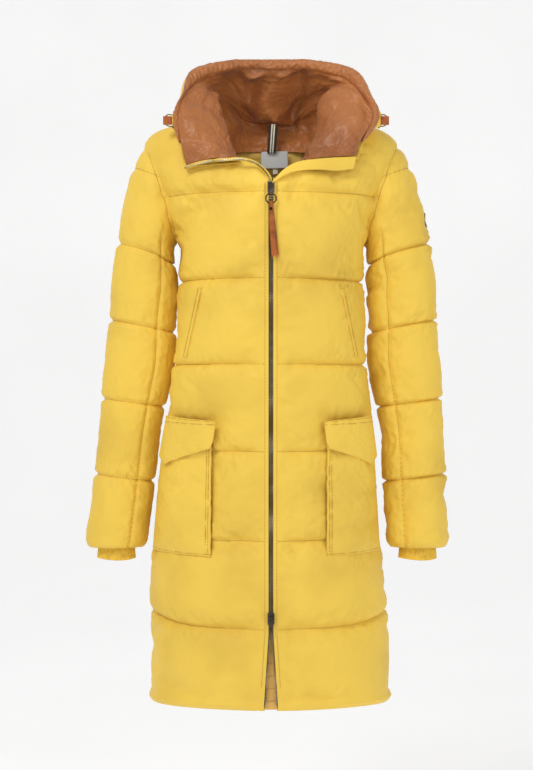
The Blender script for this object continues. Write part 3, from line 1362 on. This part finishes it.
def make_zip_guard():
    """The lined strip behind the zip, seen where its halves part at the hem."""
    u = np.linspace(-16, 16, 13)[:, None]
    v = np.linspace(-918, -118, 260)[None, :]
    grid = to_place(np.stack([u + 0 * v, GUARD_Y + 0 * u * v, v + 0 * u], axis=-1))
    grid[..., 1] += 0.0007 * ripple(grid, 0.03, 71, 2)
    guard = cloth_piece("zip_guard_lining", grid, 0.0012, GUARD, "coat", flip=True, levels=0)
    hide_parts("zip_guard")
    lines = []
    for z in range(-905, -800, 19):
        line = to_place(np.array([(x, GUARD_Y - 1.2, z + 0.1 * x) for x in np.linspace(-12, 12, 12)]))
        lines.append((line, np.tile([0.0, -1.0, 0.0], (12, 1))))
    stitch_piece("stitches_zip_guard", lines, BROWN_THREAD, "coat")


for side in SIDES:
    make_zip_half(side)


# ------------------------------------------------------------- leather pull

STRAP_TOP, STRAP_LONG, STRAP_NOTCH, STRAP_Y = -149.5, 85, 7, -143.3


def make_pull_layer(name, behind, drift, back, half_low, long):
    """One layer of the folded leather strip, leaning aside and cut to a swallow tail."""
    u = np.linspace(-1, 1, 9)[:, None]
    v = np.linspace(0, 1, 44)[None, :]
    reach = v * (long - STRAP_NOTCH * (1 - np.abs(u)))
    share = reach / long
    half = 2.9 + (half_low - 2.9) * smoothstep(share * 2.5)
    x = 0.4 + drift * share ** 1.4 + u * half
    y = STRAP_Y + behind + back * share + 0.5 * np.sin(share * 7) + 0.25 * u ** 2
    grid = to_place(np.stack([x, y + 0 * x, STRAP_TOP - reach], axis=-1))
    return cloth_piece(name, grid, 0.0012, LEATHER, "leather_pull", flip=True)


def make_pull():
    front = make_pull_layer("leather_pull_front", 0, 5.0, 0.6, 4.3, STRAP_LONG)
    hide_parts("leather_pull")
    make_pull_layer("leather_pull_back", 1.5, 7.8, 2.4, 4.1, STRAP_LONG - 4)
    turn = np.linspace(-0.4 * math.pi, 1.4 * math.pi, 22)[:, None]
    across = np.linspace(-2.6, 2.6, 7)[None, :]
    grid = np.stack([across + 0 * turn, -141.9 - 2.2 * np.cos(turn) + 0 * across,
                     -149.6 + 2.2 * np.sin(turn) + 0 * across], axis=-1)
    cloth_piece("leather_pull_fold", to_place(grid), 0.0011, LEATHER, "leather_pull", flip=False)


make_pull()


# ------------------------------------------------------------ neck fittings

def make_neck_facing():
    """The curved facing inside the back of the neck, below the brown band."""
    z = np.linspace(-97, -43, 14)[None, :]
    angle = np.linspace(math.pi - 1.0, math.pi + 1.0, 60)[:, None]
    half, depth, middle = body_stations(z)
    x = (half - 12) * np.sin(angle) * 0.8
    y = middle - (depth - 12.5) * np.cos(angle)
    top = smoothstep((z + 60) / 17) * 3 * np.cos((angle - math.pi) * 1.5)
    grid = to_place(np.stack([x, y, z + top], axis=-1))
    grid[..., 1] += 0.0008 * ripple(grid, 0.04, 81, 2)
    facing = cloth_piece("neck_facing_cloth", grid, 0.0008, INSIDE, "coat", flip=True)
    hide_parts("neck_facing")


def label_grid(x_low, x_high, z_low, z_high, y, bow):
    """A small rectangle of woven satin, bowed a little and with softened corners."""
    u = np.linspace(-1, 1, 15)[:, None]
    v = np.linspace(-1, 1, 11)[None, :]
    trim_x, trim_z = 1 - 0.02 * v ** 8, 1 - 0.03 * u ** 8
    x = (x_low + x_high) / 2 + (x_high - x_low) / 2 * u * trim_x
    z = (z_low + z_high) / 2 + (z_high - z_low) / 2 * v * trim_z + 0.6 * u
    return to_place(np.stack([x, y + bow * (u ** 2 + 0.5 * v), z], axis=-1))


def make_labels():
    """Both labels are blank."""
    main = cloth_piece("label_blank_woven", label_grid(-15.8, 28.4, -70.4, -42.5, 58.5, 1.2), 0.0006, LABEL,
                       "coat", flip=False)
    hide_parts("blank_label")
    tab = cloth_piece("size_tab_blank_woven", label_grid(3.5, 11.5, -79.5, -68, 60.4, 0.3), 0.0005, CREAM,
                      "coat", flip=False)
    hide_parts("size_tab")


def loop_band(name, x_low, x_high, grow, thick, material):
    """A closed band of tape hanging from the loop's inner top, leaning a little aside."""
    turn = np.linspace(0, 2 * math.pi, 72, endpoint=False)
    round_y = np.sign(np.sin(turn)) * np.abs(np.sin(turn)) ** 0.7
    tall = 22.5 + grow
    y = (4.0 + grow) * round_y
    z = grow + tall * np.cos(turn) - tall
    across = np.linspace(x_low, x_high, 6)[None, :]
    lean = (5.0 * (1 + z / 45))[:, None] * 0.6
    x = across + lean
    grid = np.stack([x, 55 + y[:, None] + 0 * x, z[:, None] + 0 * x], axis=-1)
    return cloth_piece(name, to_place(grid), thick, material, "coat", wrap=True, flip=True)


def make_loop():
    loop = loop_band("hanger_loop_tape", -5.5, 8.5, 1.2, 0.0011, LOOP)
    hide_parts("hanger_loop")
    for number, low in enumerate((-1.6, 2.2)):
        loop_band(f"hanger_loop_stripe_{number + 1}", low, low + 2.2, 1.5, 0.0004, CREAM)


make_neck_facing()
make_labels()
make_loop()


# --------------------------------------------------------------- stitching

def stitch_piece(name, lines, material, body, pitch=0.0034, length=0.0029, thread=0.001):
    """A row of small thread stitches along each line of points, with its outward directions."""
    places, alongs, outs = [], [], []
    for line, lift in lines:
        run = np.linalg.norm(np.diff(line, axis=0), axis=1).sum()
        both = even(np.stack([line, lift], axis=1), max(3, int(run / pitch)))
        point, out = both[:, 0], both[:, 1]
        along = np.gradient(point, axis=0)
        along /= np.maximum(np.linalg.norm(along, axis=1, keepdims=True), 1e-9)
        out = out - along * (out * along).sum(axis=1, keepdims=True)
        out /= np.maximum(np.linalg.norm(out, axis=1, keepdims=True), 1e-9)
        places.append(point)
        alongs.append(along)
        outs.append(out)
    place, along, out = (np.concatenate(v) for v in (places, alongs, outs))
    across = np.cross(along, out)
    return block_row(name, place, along, out, across, (length, thread, thread), material, body)


def make_stitching():
    lines = []
    for row in SEAM_ROWS:
        line, lift = BODY_CLOTH[:, row], BODY_OUT[:, row]
        keep = [k for k in range(7, len(line) - 7) if not hidden_on_body(line[k])]
        for run in np.split(np.array(keep), np.nonzero(np.diff(keep) > 1)[0] + 1):
            if len(run) > 4:
                lines.append((line[run], lift[run]))
    placket = [k for k in range(12, BODY_CLOTH.shape[1]) if BODY_ROWS[k // 2, 0] < -118]
    for column in (6, len(BODY_CLOTH) - 7):
        run = slice(placket[0], placket[-1])
        lines.append((BODY_CLOTH[column, run], BODY_OUT[column, run]))
    stitch_piece("stitches_body", lines, THREAD, "coat")
    stitch_piece("stitches_pockets", STITCHES["coat"], THREAD, "coat", thread=0.0007)
    for side in SIDES:
        sleeve = stitch_piece(f"stitches_sleeve_{side}", SLEEVE_LINES[side], THREAD, None)
        blend_at_armhole(sleeve)
        flap = stitch_piece(f"stitches_flap_{side}", STITCHES[f"{side}_flap"], THREAD, None,
                            thread=0.0007)
        blend_at_flap(flap)


def hidden_on_body(point):
    """True where a pocket, a sleeve's head or the lapels cover the body."""
    x, y, z = abs(point[0]) / MM, (point[1] - HANG) / MM, point[2] / MM
    under_pocket = x > 90 and y < -20 and -690 < z < -475
    return under_pocket or bool(in_neck_or_sleeve(np.array([point]))[0])


make_stitching()
make_zip_guard()


# ----------------------------------------------------------------- lining

def make_body_lining():
    """The inner layer: back and two fronts, inside the wadding."""
    heights = np.linspace(-906, -60, 120)
    half, depth, middle = body_stations(heights)
    low = np.stack([heights, half, depth, middle], axis=1)
    top = even(BODY_LINE[40 * 10:], 14)[:8]
    rows = np.concatenate([low, top[1:]])
    rows[:, 1:3] -= 10.5
    grid, _ = body_grid(rows)
    columns = len(grid)
    grid = to_place(grid)
    outward = normals_of(grid)
    wrinkle = ripple(grid, 0.11, 31, 3) * 0.0012
    grid = grid + outward * wrinkle[..., None]
    side_a, side_b = SIDE_A // 2, SIDE_B // 2
    spans = {"front_lining_right": (0, side_a), "back_lining": (side_a, side_b),
             "front_lining_left": (side_b, columns - 1)}
    for name, (first, last) in spans.items():
        obj = cloth_piece(f"{name}_cloth", grid[first: last + 1], 0.0006, INSIDE, "coat",
                          flip=True, levels=0, cut=in_neck_or_nape)
        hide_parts(name)
    return grid


make_body_lining()


def make_badge():
    """The blank badge, laid on the left sleeve's cloth where its CAD solid is."""
    low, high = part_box("sleeve_badge")
    grid = np.zeros((14, 16, 3))
    for i, y in enumerate(np.linspace(low[1], high[1], 14)):
        for j, z in enumerate(np.linspace(low[2], high[2], 16)):
            place, _, _, _ = SLEEVE_TREES["left"].ray_cast(Vector((0.5, y, z)), Vector((-1, 0, 0)))
            grid[i, j] = (place.x + 0.0016, y, z)
    badge = cloth_piece("sleeve_badge_patch", soften(grid, 3), 0.0018, BADGE, "left_sleeve")
    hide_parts("sleeve_badge")


make_badge()


# -------------------------------------------------- carried-over CAD pieces

def dress(node, material):
    """Gives a CAD node its finished material."""
    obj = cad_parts[node]
    obj.data.materials.clear()
    obj.data.materials.append(material)


def dress_nodes():
    finishes = {
        "cord_toggle_right": LEATHER, "cord_toggle_left": LEATHER, "top_slider": SLIDER,
        "top_pull_tab": SLIDER, "pull_ring": BRASS, "pull_rivet": BRASS, "bottom_slider": SLIDER,
        "bottom_pull_tab": SLIDER, "cord_eyelets": BRASS}
    for node, material in finishes.items():
        dress(node, material)


dress_nodes()


# ------------------------------------------------------------------ stage

def make_stage():
    """A pale floor that curves up into a pale wall behind the coat."""
    profile = [(-7, -1.35), (-5, -1.35), (-3, -1.35), (-1, -1.35), (0.6, -1.35), (1.8, -1.35), (2.8, -1.31),
               (3.7, -1.15), (4.4, -0.75), (4.8, -0.1), (4.95, 0.8), (5, 2), (5, 3.5), (5, 5), (5, 6.5)]
    line = catmull(profile, 8)
    grid = np.array([[(x, y, z) for y, z in line] for x in np.linspace(-11, 11, 9)])
    floor = grid_object("floor", grid, flip=True)
    smooth_shade(floor)
    n = Nodes("studio_paper")
    tone = n.ramp(n.noise(1.5, 2), (0.3, srgb(245, 245, 245)), (0.7, srgb(248, 248, 248)))
    floor.data.materials.append(n.set(Base_Color=tone, Roughness=0.9, Emission_Color=tone,
                                      Emission_Strength=0.25))


def area_light(name, place, aim, size, power):
    light = bpy.data.lights.new(name, "AREA")
    light.shape = "RECTANGLE"
    light.size, light.size_y = size
    light.energy = power
    obj = bpy.data.objects.new(name, light)
    obj.location = place
    obj.rotation_euler = (Vector(aim) - Vector(place)).to_track_quat("-Z", "Y").to_euler()
    bpy.context.scene.collection.objects.link(obj)


def spot_light(name, place, aim, degrees, power):
    """A narrow light with a wholly soft edge."""
    light = bpy.data.lights.new(name, "SPOT")
    light.spot_size = math.radians(degrees)
    light.spot_blend = 1
    light.shadow_soft_size = 0.12
    light.energy = power
    obj = bpy.data.objects.new(name, light)
    obj.location = place
    obj.rotation_euler = (Vector(aim) - Vector(place)).to_track_quat("-Z", "Y").to_euler()
    bpy.context.scene.collection.objects.link(obj)


def make_lights():
    bpy.context.scene.view_settings.view_transform = "Standard"
    world = bpy.data.worlds.new("studio")
    world.use_nodes = True
    world.node_tree.nodes["Background"].inputs["Color"].default_value = (1, 1, 1, 1)
    world.node_tree.nodes["Background"].inputs["Strength"].default_value = 0.57
    bpy.context.scene.world = world
    area_light("key", (-1.1, -2.0, 1.7), (0, HANG, -0.4), (1.0, 1.0), 35.5)
    area_light("fill", (1.8, -2.2, 0.2), (0, HANG, -0.45), (1.5, 2.2), 10.5)
    spot_light("hood_fill", (0.1, -2.2, -0.1), (0, 0.02, 0.05), 7.5, 75)


make_stage()
make_lights()
